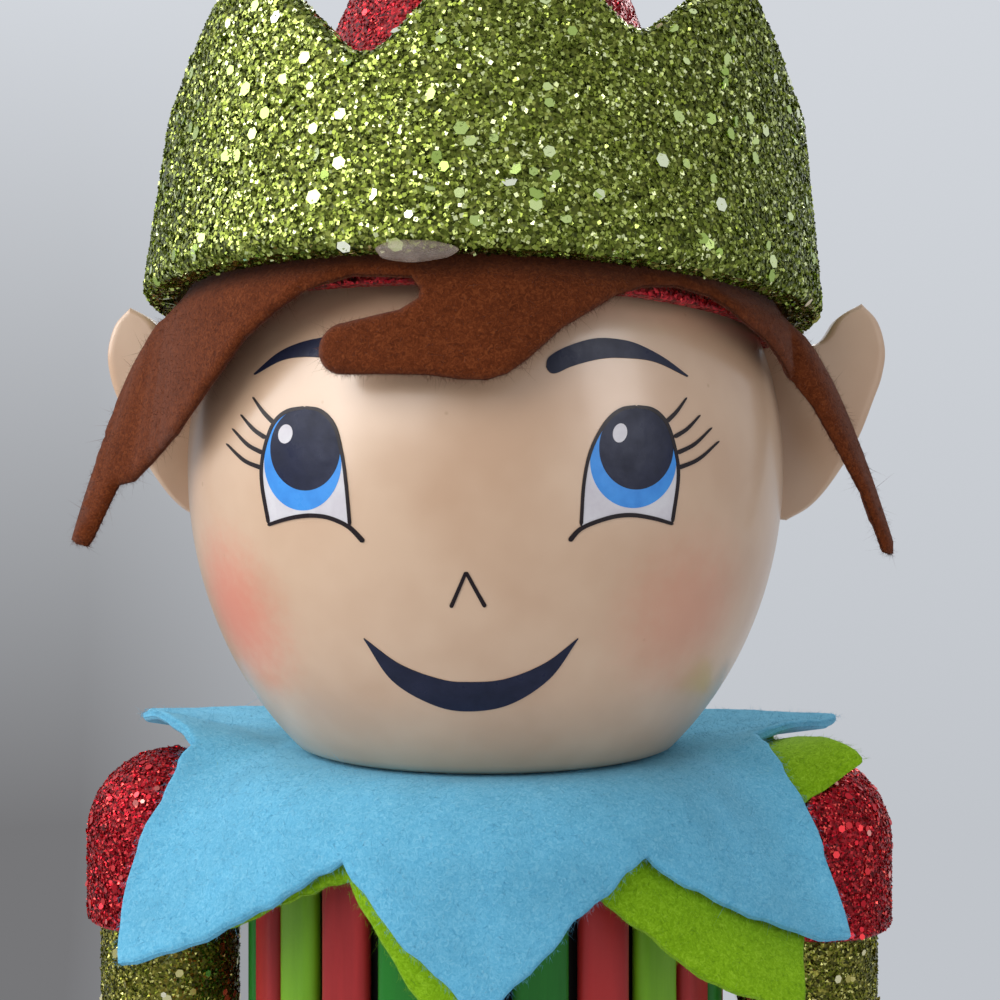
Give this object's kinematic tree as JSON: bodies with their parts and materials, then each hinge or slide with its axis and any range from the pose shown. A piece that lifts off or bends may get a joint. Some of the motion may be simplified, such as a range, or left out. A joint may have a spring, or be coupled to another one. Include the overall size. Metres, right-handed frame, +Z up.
{
  "type": "nutcracker doll",
  "caption": "Standing elf nutcracker doll of turned wood with a pointed glitter hat, felt hair, star-shaped felt collars, a slatted body and arms that turn at the shoulders.",
  "frame": {"origin": "centre of the plinth's underside", "axes": "+Z up, the figure faces -Y, its own left side is +X"},
  "size_m": [0.0996, 0.1012, 0.3682],
  "materials": {
    "green_paint": "gloss paint on wood",
    "green_glitter": "green glitter on wood",
    "red_paint": "gloss paint on wood",
    "bare_wood": "bare beech dowel",
    "black_paint": "gloss paint on wood",
    "dark_paint": "dark paint on wood",
    "lime_paint": "matt lime paint on wood",
    "lime_felt": "pressed felt",
    "blue_felt": "pressed felt",
    "skin_paint": "gloss paint on turned wood",
    "brown_felt": "pressed felt",
    "red_glitter": "red glitter on wood",
    "gold_glitter": "olive and gold glitter on wood"
  },
  "bodies": {
    "figure": {"plinth": "green_paint", "left_boot": "green_glitter", "right_boot": "green_glitter", "left_leg": "red_paint", "right_leg": "red_paint", "leg_dowels": "bare_wood", "hip_block": "red_paint", "waist_dowel": "bare_wood", "waistband": "black_paint", "torso_core": "dark_paint", "red_slats": "red_paint", "dark_green_slats": "green_paint", "lime_slats": "lime_paint", "neck_dowel": "bare_wood", "lime_collar": "lime_felt", "blue_collar": "blue_felt", "head": "skin_paint", "left_ear": "skin_paint", "right_ear": "skin_paint", "felt_fringe": "brown_felt", "left_hair_lock": "brown_felt", "right_hair_lock": "brown_felt", "hat_cone": "red_glitter", "hat_dowel": "bare_wood", "hat_cuff": "green_glitter", "hat_ball": "green_glitter", "shoulder_pegs": "bare_wood"},
    "left_arm": {"left_shoulder_cap": "red_glitter", "left_arm_dowel": "bare_wood", "left_sleeve": "gold_glitter", "left_wrist_cuff": "red_glitter", "left_wrist_dowel": "bare_wood", "left_hand": "skin_paint"},
    "right_arm": {"right_shoulder_cap": "red_glitter", "right_arm_dowel": "bare_wood", "right_sleeve": "gold_glitter", "right_wrist_cuff": "red_glitter", "right_wrist_dowel": "bare_wood", "right_hand": "skin_paint"}
  },
  "joints": [
    {"name": "left_shoulder", "type": "hinge", "parent": "figure", "child": "left_arm", "pos_m": [0.0397, 0, 0.2111], "axis": [-1, 0, 0], "range_deg": [-25, 60], "deforming": ["lime_collar", "blue_collar"]},
    {"name": "right_shoulder", "type": "hinge", "parent": "figure", "child": "right_arm", "pos_m": [-0.0397, 0, 0.2111], "axis": [-1, 0, 0], "range_deg": [-25, 60], "deforming": ["lime_collar", "blue_collar"]}
  ]
}
